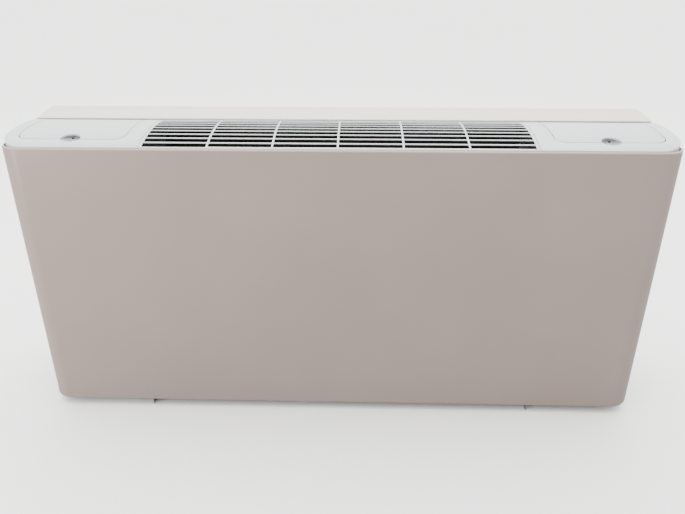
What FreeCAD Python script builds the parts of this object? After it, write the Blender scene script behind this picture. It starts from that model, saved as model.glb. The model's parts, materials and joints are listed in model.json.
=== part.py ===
"""Cased fan convector: painted casing, domed plastic top with outlet grille and two flip flaps,
water coil, twin blowers, filter and controls.  Millimetres, +Z up, front towards -Y, origin on the
standing plane at the middle of the footprint."""
import FreeCAD, Part
import Sketcher
import math
import os
import re
from types import SimpleNamespace
from FreeCAD import Placement, Rotation, Vector

SIZES = [
    ("width", 1020, "casing, over the two sides"),
    ("depth", 200, "casing, wall plane to front face"),
    ("sheet", 1.2, "steel sheet thickness"),
    ("casing_lift", 15, "lower edge of the casing above the standing plane"),
    ("rim_top", 468, "upper rim of the casing"),
    ("corner_radius", 36, "front vertical corners of the casing"),
    ("rim_lip", 2, "inward lip of the rim"),
    ("base_lip", 12, "inward lip of the lower edge"),
    ("back_return", 20, "inward return at the wall"),
    ("plastic", 2.5, "moulded top wall"),
    ("crown_radius", 285, "dome of the top, an arc front to back"),
    ("crown_y", -7, "dome axis"),
    ("crown_z", 199, "dome axis"),
    ("top_inset", 3.6, "moulded top inside the casing"),
    ("top_corner", 38, "front corners of the moulded top"),
    ("top_back", 60, "rear edge of the end pieces"),
    ("skirt_foot", 455.2, "lower edge of the end-piece skirts"),
    ("strip_front", 35, "front lip of the rear strip"),
    ("strip_foot", 481.4, "lower edge of that lip"),
    ("strip_lip_top", 483.6, "upper edge of that lip"),
    ("total_height", 490, "rear edge of the strip"),
    ("strip_half", 505, "half length of the strip"),
    ("strip_skirt", 462, "foot of the strip's rear flange"),
    ("opening_half", 295, "half length of the grille insert's place"),
    ("seam", 0.4, "half of the seam beside the grille insert"),
    ("grille_deep", 1.6, "thickness of slats and bars"),
    ("grille_skirt", 7, "depth of the insert's outer wall"),
    ("grille_back", 45, "rear edge of the grille insert"),
    ("foam", 3, "insulation thickness"),
    ("slat_first", -81.5, "middle of the front slat"),
    ("slat_pitch", 13.7, "slat spacing"),
    ("slat_thick", 2, "slat width"),
    ("bar_pitch", 96.7, "cross-bar spacing"),
    ("bar_thick", 2.8, "cross-bar width"),
    ("grille_band", 5, "plain band at each end of the slats"),
    ("grille_front_band", 2.4, "plain band in front of the slats"),
    ("flap_inner", 321.5, "flap opening, inner side"),
    ("flap_outer", 487, "flap opening, outer side"),
    ("flap_front", -75, "flap opening, front"),
    ("flap_back", 33.5, "rear edge of the flap"),
    ("flap_gap", 1.5, "gap round the flap"),
    ("flap_corner", 16, "front corners of the flap"),
    ("hinge_y", 24, "flap hinge axis"),
    ("hinge_z", 474, "flap hinge axis"),
    ("pin_radius", 1.5, "flap hinge pin"),
    ("pin_play", 0.08, "running clearance on radius"),
    ("notch_x", 404, "finger notch, from the middle of the casing"),
    ("notch_y", -72.25, "finger notch arc centre"),
    ("notch_radius", 15.25, "finger notch arc"),
    ("dish_y", -67, "finger dish sphere centre"),
    ("dish_z", 486.7, "finger dish sphere centre"),
    ("dish_radius", 20, "finger dish sphere"),
    ("screw_y", -61.5, "end-piece screw"),
    ("pillar_radius", 3.4, "screw pillar in the finger dish"),
    ("pillar_tall", 17.5, "screw pillar above the skirts' lower edge"),
    ("panel_x", 330, "inner face of the side panels"),
    ("panel_front", -94, "front edge of the side panels"),
    ("panel_top", 453, "upper edge of the side panels"),
    ("foot_width", 15, "feet turned out from the side panels"),
    ("deck_z", 190, "underside of the fan deck"),
    ("fan_y", 4, "fan axis"),
    ("fan_z", 102, "fan axis"),
    ("volute_inner", 95, "volute, side towards the motor"),
    ("volute_outer", 285, "volute, far side"),
    ("scroll_start", 66, "scroll radius at the cutoff"),
    ("scroll_end", 90, "scroll radius at the discharge"),
    ("inlet_radius", 48, "volute inlet"),
    ("wheel_radius", 58, "blower wheel"),
    ("wheel_half", 82, "half length of a blower wheel"),
    ("shaft_radius", 5, "motor shaft"),
    ("motor_radius", 44, "motor body"),
    ("motor_half", 56, "half length of the motor"),
    ("coil_y", 62, "middle of the coil's foot"),
    ("coil_z", 232, "middle of the coil's foot"),
    ("coil_lean", 22, "coil lean towards the front, degrees"),
    ("coil_half", 288, "half length of the fin pack"),
    ("coil_deep", 52, "fin depth"),
    ("coil_tall", 200, "fin height"),
    ("tube_radius", 5, "coil tube"),
    ("tube_pitch", 32, "tube spacing up the coil"),
    ("row_pitch", 25, "tube row spacing"),
    ("stub_radius", 8, "pipe stub"),
    ("header_step", 21, "headers beyond the fin pack"),
    ("stub_reach", 44, "length of the header stubs"),
    ("union_flat", 15, "union's hexagon, middle to flat"),
    ("union_reach", 30, "union's mouth behind its pipe"),
    ("wall_hole_radius", 20, "hole for a pipe out of the wall"),
    ("thread_radius", 12.06, "three-quarter inch pipe thread, minor radius"),
    ("tray_foot", 168, "underside of the drip tray"),
    ("filter_half", 327.4, "half width of the filter frame"),
    ("filter_foot", 2, "underside of the filter frame"),
    ("filter_top", 11, "upper side of the filter frame"),
    ("filter_front", -80, "front edge of the filter frame"),
    ("filter_back", 90, "rear edge of the filter frame"),
    ("wall_slot_x", 412, "wall slots from the middle"),
    ("wall_slot_low", 120, "lower wall slots"),
    ("wall_slot_high", 400, "upper wall slots"),
    ("wall_slot_radius", 4, "half width of a wall slot"),
    ("wall_slot_long", 16, "wall slot end to end"),
    ("box_top", 440, "control box upper edge"),
    ("box_foot", 330, "control box underside"),
    ("knob_radius", 14, "control knob"),
    ("knob_y", -12, "row of controls"),
    ("speed_x", 362, "fan speed knob"),
    ("thermostat_x", 442, "thermostat knob"),
    ("rocker_x", 402, "season rocker"),
]

doc = FreeCAD.newDocument("fan_convector")
book = doc.addObject("Spreadsheet::Sheet", "Sizes")
for row, (alias, amount, meaning) in enumerate(SIZES, 1):
    book.set(f"A{row}", meaning)
    book.set(f"B{row}", str(amount))
    book.setAlias(f"B{row}", alias)
doc.recompute()
S = SimpleNamespace(**{alias: float(book.get(alias)) for alias, _, _ in SIZES})
ALIAS_WORD = re.compile(r"\b(" + "|".join(alias for alias, _, _ in SIZES) + r")\b")
TURNED = {
    "x": Rotation(Vector(0, 1, 0), 90),
    "y": Rotation(Vector(1, 0, 0), -90),
    "z": Rotation(),
}
BEYOND = 30      # how far a cutting tool runs past the piece it cuts
SIDES = (("left", -1), ("right", 1))
nodes = []


# ---------------------------------------------------------------- building blocks
def bind(target, path, formula):
    """Bind a property to a formula written with the sheet's aliases."""
    target.setExpression(path, ALIAS_WORD.sub(r"Sizes.\1", str(formula)))


def node(piece):
    """Register a finished sub-part."""
    nodes.append(piece)
    return piece


def box(label, x, y, z):
    """Box between low and high formulas along each axis."""
    block = doc.addObject("Part::Box", label)
    for side, axis, (low, high) in zip(("Length", "Width", "Height"), "xyz", (x, y, z)):
        bind(block, side, f"({high}) - ({low})")
        bind(block, f".Placement.Base.{axis}", low)
    return block


def rod(label, axis, radius, start, length):
    """Cylinder along an axis from a start point given as formulas."""
    bar = doc.addObject("Part::Cylinder", label)
    bind(bar, "Radius", radius)
    bind(bar, "Height", length)
    bar.Placement = Placement(Vector(), TURNED[axis])
    for letter, formula in zip("xyz", start):
        bind(bar, f".Placement.Base.{letter}", formula)
    return bar


def ball(label, radius, centre):
    """Sphere about a centre given as formulas."""
    globe = doc.addObject("Part::Sphere", label)
    bind(globe, "Radius", radius)
    for letter, formula in zip("xyz", centre):
        bind(globe, f".Placement.Base.{letter}", formula)
    return globe


def fuse(label, *shapes):
    joined = doc.addObject("Part::MultiFuse", label)
    joined.Shapes = list(shapes)
    joined.Refine = True
    return joined


def cut(label, base, *tools):
    trimmed = doc.addObject("Part::Cut", label)
    trimmed.Base = base
    trimmed.Tool = tools[0] if len(tools) == 1 else fuse(label + "_tools", *tools)
    trimmed.Refine = True
    return trimmed


def common(label, first, second):
    shared = doc.addObject("Part::Common", label)
    shared.Base = first
    shared.Tool = second
    return shared


def group(label, *shapes):
    """Separate solids kept in one node."""
    bundle = doc.addObject("Part::Compound", label)
    bundle.Links = list(shapes)
    return bundle


def feature(label, shape, placement=None):
    """Sub-part whose shape is worked out here from the sheet's sizes."""
    piece = doc.addObject("Part::Feature", label)
    piece.Shape = shape
    piece.Placement = placement or Placement()
    return piece


def rounded(label, base, radius, corners):
    """Fillet the vertical edges standing at the given plan corners."""
    doc.recompute()
    chosen = []
    for index, edge in enumerate(base.Shape.Edges, 1):
        low, high = edge.Vertexes[0].Point, edge.Vertexes[-1].Point
        upright = abs(low.x - high.x) < 0.01 and abs(low.y - high.y) < 0.01
        if upright and any(abs(low.x - x) < 0.01 and abs(low.y - y) < 0.01 for x, y in corners):
            chosen.append((index, radius, radius))
    soft = doc.addObject("Part::Fillet", label)
    soft.Base = base
    soft.Edges = chosen
    return soft


def span(side, low, high):
    """Low and high formulas on the right, mirrored on the left."""
    return (low, high) if side > 0 else (f"-({high})", f"-({low})")


def at(side, formula):
    return f"{side} * ({formula})"


def origin_plane(body, role):
    return next(plane for plane in body.Origin.OriginFeatures if plane.Role == role)


def outline_sketch(body, role, corners, name):
    """Closed straight-sided sketch, every corner dimensioned from the origin by formulas."""
    sketch = body.newObject("Sketcher::SketchObject", name)
    sketch.AttachmentSupport = [(origin_plane(body, role), "")]
    sketch.MapMode = "FlatFace"
    share = 2 * math.pi / len(corners)
    points = [Vector(100 * math.cos(i * share), 100 * math.sin(i * share), 0) for i in range(len(corners))]
    count = len(points)
    for index in range(count):
        sketch.addGeometry(Part.LineSegment(points[index], points[(index + 1) % count]), False)
    for index in range(count):
        sketch.addConstraint(Sketcher.Constraint("Coincident", index, 2, (index + 1) % count, 1))
    for index, (u, v) in enumerate(corners):
        for kind, formula, value in (("DistanceX", u, points[index].x), ("DistanceY", v, points[index].y)):
            number = sketch.addConstraint(Sketcher.Constraint(kind, -1, 1, index, 1, value))
            bind(sketch, f"Constraints[{number}]", formula)
    return sketch


def folded_sheet(label, role, corners, length):
    """Sheet-metal section padded equally to both sides of its sketch plane."""
    body = doc.addObject("PartDesign::Body", label)
    sketch = outline_sketch(body, role, corners, label + "_section")
    pad = body.newObject("PartDesign::Pad", label + "_pad")
    pad.Profile = sketch
    pad.Midplane = True
    bind(pad, "Length", length)
    body.Tip = pad
    doc.recompute()
    return body


# ---------------------------------------------------------------- painted casing
def casing_slab(label, inset, low, high, back, radius):
    """Casing plan outline with its two round front corners, between two heights."""
    slab = box(label + "_block", (f"-width / 2 + {inset}", f"width / 2 - {inset}"),
               (f"-depth / 2 + {inset}", back), (low, high))
    half, front = S.width / 2 - numbers(inset), -S.depth / 2 + numbers(inset)
    return rounded(label, slab, radius, [(half, front), (-half, front)])


def numbers(formula):
    """Sum of aliases such as 'sheet + rim_lip', as a number."""
    return sum(getattr(S, word.strip()) if not word.strip()[0].isdigit() else float(word)
               for word in formula.split("+"))


def make_front_casing():
    wall = cut("casing_wall",
               casing_slab("casing_outside", "0", "casing_lift", "rim_top", "depth / 2", S.corner_radius),
               casing_slab("casing_inside", "sheet", f"casing_lift - {BEYOND}", f"rim_top + {BEYOND}",
                           f"depth / 2 + {BEYOND}", S.corner_radius - S.sheet))
    lips = []
    for name, inset, low, high in (("rim", "sheet + rim_lip", "rim_top - sheet", "rim_top"),
                                   ("base", "sheet + base_lip", "casing_lift", "casing_lift + sheet")):
        band = casing_slab(name + "_band", "0", low, high, "depth / 2", S.corner_radius)
        hole = casing_slab(name + "_hole", inset, f"casing_lift - {BEYOND}", f"rim_top + {BEYOND}",
                           f"depth / 2 + {BEYOND}", S.corner_radius - numbers(inset))
        lips.append(cut(name + "_lip", band, hole))
    for name, side in SIDES:
        lips.append(box(name + "_return", span(side, "width / 2 - back_return", "width / 2"),
                        ("depth / 2 - sheet", "depth / 2"), ("casing_lift", "strip_skirt - 1")))
    holes = [rod(f"casing_hole_{name}", "z", "2.1",
                 (at(side, "panel_x + 7"), "panel_front + 1", "casing_lift - 1"),
                 "sheet + 2") for name, side in SIDES]
    node(cut("front_casing", fuse("casing_sheet", wall, *lips), *holes))


def make_rear_strip():
    """Top plate rising to the wall, folded front lip, rear flange and two end flanges."""
    section = folded_sheet("strip_plate", "YZ_Plane", [
        ("strip_front", "strip_foot"), ("strip_front", "strip_lip_top"), ("depth / 2", "total_height"),
        ("depth / 2", "strip_skirt"), ("depth / 2 - sheet", "strip_skirt"),
        ("depth / 2 - sheet", "total_height - 1.3"), ("strip_front + sheet", "strip_lip_top - 1.1"),
        ("strip_front + sheet", "strip_foot")], "2 * strip_half")
    cheeks = folded_sheet("strip_cheek_block", "YZ_Plane", [
        ("top_back + 0.6", "strip_skirt + 6"), ("top_back + 0.6", "strip_foot - 5"),
        ("strip_front + sheet", "strip_foot"), ("strip_front + sheet", "strip_lip_top - 1"),
        ("depth / 2 - 0.2", "total_height - 1"), ("depth / 2 - 0.2", "strip_skirt + 6")], "2 * strip_half")
    between = box("strip_between", ("-strip_half + sheet", "strip_half - sheet"), ("0", "depth"),
                  ("strip_skirt", "total_height + 9"))
    node(fuse("rear_top_strip", section, cut("strip_cheeks", cheeks, between)))


# ---------------------------------------------------------------- moulded top
def dome(label, less="0"):
    """Solid under the crown's arc, optionally a smaller one."""
    return rod(label, "x", f"crown_radius - {less}", ("-width / 2", "crown_y", "crown_z"), "width")


def make_end_piece(name, side):
    """Domed end piece with skirts, flap opening and ledge, hinge lugs, finger dish and screw pillar."""
    def place(label, x, y, z):
        return box(f"{name}_{label}", span(side, *x), y, z)

    def rounded_top(label, inset, low, back):
        slab = place(label + "_block",
                     (f"opening_half + seam + {inset}", f"width / 2 - top_inset - {inset}"),
                     (f"-depth / 2 + top_inset + {inset}", back), (low, "total_height"))
        corner = (side * (S.width / 2 - S.top_inset - numbers(inset)),
                  -S.depth / 2 + S.top_inset + numbers(inset))
        return rounded(f"{name}_{label}", slab, S.top_corner - numbers(inset), [corner])

    outside = common(f"{name}_outside", rounded_top("top_plan", "0", "skirt_foot", "top_back"),
                     dome(f"{name}_dome"))
    inside = common(f"{name}_inside",
                    rounded_top("top_core", "plastic", "skirt_foot - 9", "top_back - plastic"),
                    dome(f"{name}_dome_core", "plastic"))
    opening_block = place("opening_block", ("flap_inner", "flap_outer"), ("flap_front", "top_back - 22.5"),
                          ("skirt_foot", "total_height"))
    opening = rounded(f"{name}_opening", opening_block, S.flap_corner + S.flap_gap,
                      [(side * S.flap_inner, S.flap_front), (side * S.flap_outer, S.flap_front)])
    flap_room = cut(f"{name}_flap_room", opening, dome(f"{name}_ledge_level", "plastic - 0.3"))
    ledge_plan = place("ledge_plan", ("flap_inner - 3", "flap_outer + 3"), ("flap_front - 3", "8"),
                       ("skirt_foot", "total_height"))
    ledge_top = common(f"{name}_ledge_top", ledge_plan, dome(f"{name}_ledge_dome", "1"))
    ledge = cut(f"{name}_ledge", ledge_top, dome(f"{name}_ledge_under", "plastic + 2.5"))
    throat = place("throat", ("flap_inner + 4.5", "flap_outer - 4.5"),
                   ("flap_front + 4.5", "top_back - 22.5"),
                   ("skirt_foot", "total_height"))
    lugs = [common(f"{name}_{label}", place(label + "_block", (low, high), ("hinge_y - 5", "hinge_y + 5"),
                                            ("hinge_z - 5", "hinge_z + 7")), dome(f"{name}_{label}_dome",
                                                                                  "1"))
            for label, low, high in (("inner_lug", "flap_inner - 9", "flap_inner - 0.3"),
                                     ("outer_lug", "flap_outer + 0.3", "flap_outer + 9"))]
    shell = cut(f"{name}_shell", outside, inside)
    frame = cut(f"{name}_frame", fuse(f"{name}_ledged", shell, ledge), flap_room, throat)
    dish_centre = (at(side, "notch_x"), "dish_y", "dish_z")
    cup_ball = common(f"{name}_cup_ball", ball(f"{name}_cup", "dish_radius + 2", dish_centre),
                      dome(f"{name}_cup_dome"))
    dish = ball(f"{name}_dish", "dish_radius", dish_centre)
    pillar = rod(f"{name}_pillar", "z", "pillar_radius", (at(side, "notch_x"), "screw_y", "skirt_foot"),
                 "pillar_tall")
    bores = [rod(f"{name}_shank_bore", "z", "1.5", (at(side, "notch_x"), "screw_y", "skirt_foot - 1"),
                 "20"),
             rod(f"{name}_pin_bore", "x", "pin_radius",
                 (lower_x(side, "flap_inner - 8", "flap_outer + 8"), "hinge_y", "hinge_z"),
                 "flap_outer - flap_inner + 16")]
    scooped = cut(f"{name}_scooped", fuse(f"{name}_moulding", frame, cup_ball, *lugs), dish, flap_room)
    node(cut(f"{name}_end_piece", fuse(f"{name}_pillared", scooped, pillar), *bores))
    node(rod(f"{name}_hinge_pin", "x", "pin_radius", (lower_x(side, "flap_inner - 8", "flap_outer + 8"),
                                                      "hinge_y", "hinge_z"), "flap_outer - flap_inner + 16"))


def lower_x(side, low, high):
    return span(side, low, high)[0]


def make_flap(name, side):
    """Domed lid with a half-moon finger notch, two ribs and two hinge knuckles."""
    def place(label, x, y, z):
        return box(f"{name}_flap_{label}", span(side, *x), y, z)

    plan_block = place("plan_block", ("flap_inner + flap_gap", "flap_outer - flap_gap"),
                       ("flap_front + flap_gap", "flap_back"), ("skirt_foot", "total_height"))
    plan = rounded(f"{name}_flap_plan", plan_block, S.flap_corner,
                   [(side * (S.flap_inner + S.flap_gap), S.flap_front + S.flap_gap),
                    (side * (S.flap_outer - S.flap_gap), S.flap_front + S.flap_gap)])
    lid = cut(f"{name}_flap_lid", common(f"{name}_flap_crown", plan, dome(f"{name}_flap_dome")),
              dome(f"{name}_flap_under", "plastic"))
    rib_band = cut(f"{name}_flap_rib_band", dome(f"{name}_flap_rib_top", "1"),
                   dome(f"{name}_flap_rib_foot", "7"))
    ribs = fuse(f"{name}_flap_ribs",
                place("inner_rib", ("flap_inner + 6", "flap_inner + 8"), ("flap_front + 9", "12"),
                      ("skirt_foot", "total_height")),
                place("outer_rib", ("flap_outer - 8", "flap_outer - 6"), ("flap_front + 9", "12"),
                      ("skirt_foot", "total_height")),
                place("cross_rib", ("flap_inner + 6", "flap_outer - 6"), ("10", "12"),
                      ("skirt_foot", "total_height")))
    knuckles = []
    for label, low, high in (("inner_knuckle", "flap_inner + 1", "flap_inner + 13"),
                             ("outer_knuckle", "flap_outer - 13", "flap_outer - 1")):
        knuckles.append(rod(f"{name}_flap_{label}", "x", "4.5",
                            (lower_x(side, low, high), "hinge_y", "hinge_z"), "12"))
        knuckles.append(place(label + "_web", (low, high), ("hinge_y - 3", "hinge_y + 3"),
                              ("hinge_z", "hinge_z + 6.4")))
    notch = rod(f"{name}_flap_notch", "z", "notch_radius", (at(side, "notch_x"), "notch_y", "skirt_foot"),
                "40")
    bore = rod(f"{name}_flap_bore", "x", "pin_radius + pin_play",
               (lower_x(side, "flap_inner - 8", "flap_outer + 8"), "hinge_y",
                "hinge_z"), "flap_outer - flap_inner + 16")
    node(cut(f"{name}_flap", fuse(f"{name}_flap_moulding", lid, common(f"{name}_flap_rib", ribs, rib_band),
                                  *knuckles),
             notch, bore))


def make_outlet_grille():
    """Insert with a frame, lengthwise slats and cross bars, all cut to the dome."""
    rim = cut("grille_rim",
              box("grille_plan", ("-opening_half + seam", "opening_half - seam"),
                  ("-depth / 2 + top_inset", "grille_back"), ("crown_z", "total_height")),
              box("grille_inner", ("-opening_half + grille_band", "opening_half - grille_band"),
                  ("-depth / 2 + top_inset + grille_front_band", "26"),
                  ("crown_z", "total_height")))
    slats = [box(f"slat_{row}", ("-opening_half + 4", "opening_half - 4"),
                 (f"slat_first + {row} * slat_pitch - slat_thick / 2",
                  f"slat_first + {row} * slat_pitch + slat_thick / 2"),
                 ("crown_z", "total_height")) for row in range(8)]
    bars = [box(f"bar_{place + 2}",
                (f"{place} * bar_pitch - bar_thick / 2", f"{place} * bar_pitch + bar_thick / 2"),
                ("-depth / 2 + top_inset + 2", "27"), ("crown_z", "total_height"))
            for place in range(-2, 3)]
    grid = fuse("grille_grid", rim, *slats, *bars)
    lattice = cut("grille_lattice", common("grille_crown", grid, dome("grille_dome")),
                  dome("grille_under", "grille_deep"))
    wall = cut("grille_wall_plan",
               box("grille_wall_outside", ("-opening_half + seam", "opening_half - seam"),
                   ("-depth / 2 + top_inset", "grille_back"), ("crown_z", "total_height")),
               box("grille_wall_inside", ("-opening_half + seam + 2", "opening_half - seam - 2"),
                   ("-depth / 2 + top_inset + 2", "grille_back - 2"), ("crown_z", "total_height")))
    skirt = cut("grille_skirt_wall", common("grille_wall_crown", wall, dome("grille_wall_dome", "1")),
                dome("grille_skirt_under", "grille_skirt"))
    node(fuse("outlet_grille", lattice, skirt))


def make_end_piece_screws():
    screws = []
    for name, side in SIDES:
        foot = (at(side, "notch_x"), "screw_y")
        screws.append(fuse(f"{name}_end_screw",
                           rod(f"{name}_end_shank", "z", "1.5", (*foot, "skirt_foot - 6"), "pillar_tall + 7"),
                           rod(f"{name}_end_head", "z", "2.2", (*foot, "skirt_foot + pillar_tall"), "2")))
    node(group("end_piece_screws", *screws))


# ---------------------------------------------------------------- galvanised chassis
def make_back_plate():
    """Flat plate against the wall with four fixing slots, a cable hole and a pipe cutout."""
    body = doc.addObject("PartDesign::Body", "back_plate")
    sheet_outline = outline_sketch(body, "XZ_Plane", [
        ("-width / 2 + back_return + 1", "0"), ("width / 2 - back_return - 1", "0"),
        ("width / 2 - back_return - 1", "strip_skirt - 1"), ("-width / 2 + back_return + 1",
                                                             "strip_skirt - 1")],
        "back_outline")
    bind(sheet_outline, ".AttachmentOffset.Base.z", "-depth / 2")
    pad = body.newObject("PartDesign::Pad", "back_pad")
    pad.Profile = sheet_outline
    bind(pad, "Length", "sheet")
    body.Tip = pad
    doc.recompute()
    tools = []
    for name, side in SIDES:
        for level in ("wall_slot_low", "wall_slot_high"):
            reach = "wall_slot_long / 2 - wall_slot_radius"
            for end, shift in (("foot", f"-({reach})"), ("head", reach)):
                tools.append(rod(f"{name}_{level}_{end}", "y", "wall_slot_radius",
                                 (f"{side} * wall_slot_x + {shift}", "depth / 2 - 9", level), "20"))
            tools.append(box(f"{name}_{level}_waist",
                             span(side, f"wall_slot_x - ({reach})", f"wall_slot_x + {reach}"),
                             ("depth / 2 - 9", "depth / 2 + 9"),
                             (f"{level} - wall_slot_radius", f"{level} + wall_slot_radius")))
    tools.append(rod("back_cable_hole", "y", "11", ("430", "depth / 2 - 9", "60"), "20"))
    for name, level in (("flow", LOW_TUBE), ("return", HIGH_TUBE)):
        tools.append(rod(f"{name}_wall_hole", "y", "wall_hole_radius",
                         (str(UNION_START - S.union_flat), "depth / 2 - 9",
                          str(coil_point(0, level)[1])), "20"))
    tools.append(box("back_pipe_cutout", ("-470", "-385"), ("depth / 2 - 9", "depth / 2 + 9"),
                     ("25", "100")))
    body.Label = "back_plate_sheet"
    node(cut("back_plate_cut", body, *tools)).Label = "back_plate"


def make_side_panels():
    """Upright panels with a foot, a top flange and holes for pipes, cables and screws."""
    for name, side in SIDES:
        web = box(f"{name}_panel_web", span(side, "panel_x", "panel_x + sheet"),
                  ("panel_front", "depth / 2 - sheet"),
                  ("0", "panel_top"))
        foot = box(f"{name}_panel_foot", span(side, "panel_x", "panel_x + foot_width"), ("panel_front + 20",
                   "depth / 2 - sheet"), ("0", "sheet"))
        tab = box(f"{name}_panel_tab", span(side, "panel_x", "panel_x + foot_width"), ("panel_front - 4",
                  "panel_front + 9"), ("casing_lift + sheet", "casing_lift + 2 * sheet"))
        rear = box(f"{name}_panel_rear", span(side, "panel_x", "panel_x + foot_width"),
                   ("depth / 2 - 2 * sheet", "depth / 2 - sheet"), ("0", "panel_top"))
        holes = [rod(f"{name}_panel_tab_hole", "z", "2",
                     (at(side, "panel_x + 7"), "panel_front + 1", "casing_lift"), "9")]
        holes += [rod(f"{name}_panel_deck_hole_{spot}", "x", "2",
                      (lower_x(side, "panel_x - 9", "panel_x + 9"), reach,
                      "deck_z + 8"), "18") for spot, reach in ((1, "-60"), (2, "60"))]
        holes.append(box(f"{name}_panel_lip_notch", span(side, "panel_x - 9", "panel_x + foot_width + 1"),
                         ("-depth / 2", "-depth / 2 + sheet + base_lip + 0.3"),
                         ("casing_lift - 0.3", "casing_lift + sheet")))
        if side < 0:
            for pipe, radius, y, z in pipe_crossings():
                holes.append(rod(f"panel_{pipe}_hole", "x", str(radius), ("-panel_x - 9", str(y), str(z)),
                                 "18"))
        else:
            holes.append(rod("panel_cable_hole", "x", "9", ("panel_x - 9", "0", "box_foot - 30"), "18"))
        node(cut(f"{name}_side_panel", fuse(f"{name}_panel_sheet", web, foot, tab, rear), *holes))


def coil_point(along_row, up):
    """Height and depth of a point given in the leaning coil's own directions."""
    lean = math.radians(S.coil_lean)
    return (S.coil_y + along_row * math.cos(lean) - up * math.sin(lean),
            S.coil_z + along_row * math.sin(lean) + up * math.cos(lean))


PAN_SPOUT_Y, PAN_SPOUT_Z = 82, 214
LOW_TUBE = 20
HIGH_TUBE = LOW_TUBE + 5 * S.tube_pitch
HEADER_X = -S.coil_half - S.header_step
UNION_START = HEADER_X - S.stub_reach


def pipe_crossings():
    flow_y, flow_z = coil_point(0, LOW_TUBE)
    return_y, return_z = coil_point(0, HIGH_TUBE)
    return (("flow", S.stub_radius + 2, flow_y, flow_z), ("return", S.stub_radius + 2, return_y, return_z),
            ("spout", 8, PAN_SPOUT_Y, PAN_SPOUT_Z))


def make_fan_deck():
    """Shelf between the side panels, turned up at both ends, open over the two blowers."""
    shelf = box("deck_shelf", ("-panel_x", "panel_x"), ("panel_front", "depth / 2 - sheet"),
                ("deck_z", "deck_z + sheet"))
    parts, holes = [shelf], []
    for name, side in SIDES:
        parts.append(box(f"{name}_deck_flange", span(side, "panel_x - sheet", "panel_x"),
                         ("panel_front + 4",
                         "depth / 2 - 5"), ("deck_z", "deck_z + 16")))
        holes.append(box(f"{name}_deck_outlet", span(side, "volute_inner + 2", "volute_outer - 2"),
                         ("fan_y - scroll_end + 2", "10"), ("deck_z - 9", "deck_z + 9")))
        holes += [rod(f"{name}_deck_hole_{spot}", "x", "2",
                      (lower_x(side, "panel_x - 9", "panel_x + 9"), reach,
                      "deck_z + 8"), "18") for spot, reach in ((1, "-60"), (2, "60"))]
    node(cut("fan_deck", fuse("deck_sheet", *parts), *holes))


def make_top_brackets():
    """Angles from the side panels to the casing that carry the end pieces."""
    for name, side in SIDES:
        shelf = box(f"{name}_bracket_shelf", span(side, "panel_x + sheet", "470"),
                    ("-depth / 2 + sheet", "-50"),
                    ("skirt_foot - sheet", "skirt_foot"))
        front = box(f"{name}_bracket_front", span(side, "panel_x + sheet", "470"),
                    ("-depth / 2 + sheet", "-depth / 2 + 2 * sheet"), ("skirt_foot - 30", "skirt_foot"))
        end = box(f"{name}_bracket_end", span(side, "panel_x + sheet", "panel_x + 2 * sheet"),
                  ("-depth / 2 + sheet", "-50"), ("skirt_foot - 30", "skirt_foot"))
        hole = rod(f"{name}_bracket_hole", "z", "1.5", (at(side, "notch_x"), "screw_y", "skirt_foot - 9"),
                   "18")
        node(cut(f"{name}_top_bracket", fuse(f"{name}_bracket_sheet", shelf, front, end), hole))


def make_screws():
    casing, deck = [], []
    for name, side in SIDES:
        spot = (at(side, "panel_x + 7"), "panel_front + 1")
        casing.append(fuse(f"{name}_casing_screw",
                           rod(f"{name}_casing_shank", "z", "2", (*spot, "casing_lift"), "8"),
                           rod(f"{name}_casing_head", "z", "4", (*spot, "casing_lift - 2.4"), "2.4")))
        for number, reach in ((1, "-60"), (2, "60")):
            deck.append(fuse(f"{name}_deck_screw_{number}",
                             rod(f"{name}_deck_shank_{number}", "x", "2",
                                 (lower_x(side, "panel_x - 4", "panel_x + sheet"), reach,
                                  "deck_z + 8"), "4 + sheet"),
                             rod(f"{name}_deck_head_{number}", "x", "3.6",
                                 (lower_x(side, "panel_x + sheet", "panel_x + sheet + 2.2"), reach,
                                  "deck_z + 8"), "2.2")))
    node(group("casing_screws", *casing))
    node(group("deck_screws", *deck))


# ---------------------------------------------------------------- blowers and motor
def scroll_face(inset):
    """Spiral housing section, widening from the cutoff round to the upright discharge."""
    cutoff, sweep = math.radians(60), math.radians(240)
    steps = 16
    spiral = []
    for step in range(steps + 1):
        share = step / steps
        reach = S.scroll_start + (S.scroll_end - S.scroll_start) * share - inset
        angle = cutoff - sweep * share
        spiral.append(Vector(0, S.fan_y + reach * math.cos(angle), S.fan_z + reach * math.sin(angle)))
    curve = Part.BSplineCurve()
    curve.interpolate(spiral)
    top = S.deck_z + (5 if inset else 0)
    front_top = Vector(0, spiral[-1].y, top)
    rear_top = Vector(0, 12 - inset, top)
    edges = [curve.toShape(), Part.makeLine(spiral[-1], front_top), Part.makeLine(front_top, rear_top),
             Part.makeLine(rear_top, spiral[0])]
    return Part.Face(Part.Wire(edges))


def make_volute(name, side):
    low = S.volute_inner if side > 0 else -S.volute_outer
    long = S.volute_outer - S.volute_inner
    housing = scroll_face(0).extrude(Vector(long, 0, 0))
    room = scroll_face(1).extrude(Vector(long - 2, 0, 0))
    room.translate(Vector(1, 0, 0))
    along = Vector(1, 0, 0)
    inlet = Part.makeCylinder(S.inlet_radius, long + 20, Vector(-10, S.fan_y, S.fan_z), along)
    lips = []
    for start in (-4, long):
        ring = Part.makeCylinder(S.inlet_radius + 1.5, 4, Vector(start, S.fan_y, S.fan_z), along)
        lips.append(ring)
    shape = housing.cut(room).fuse(lips).cut(inlet)
    node(feature(f"{name}_volute", shape, Placement(Vector(low, 0, 0), Rotation())))


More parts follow.
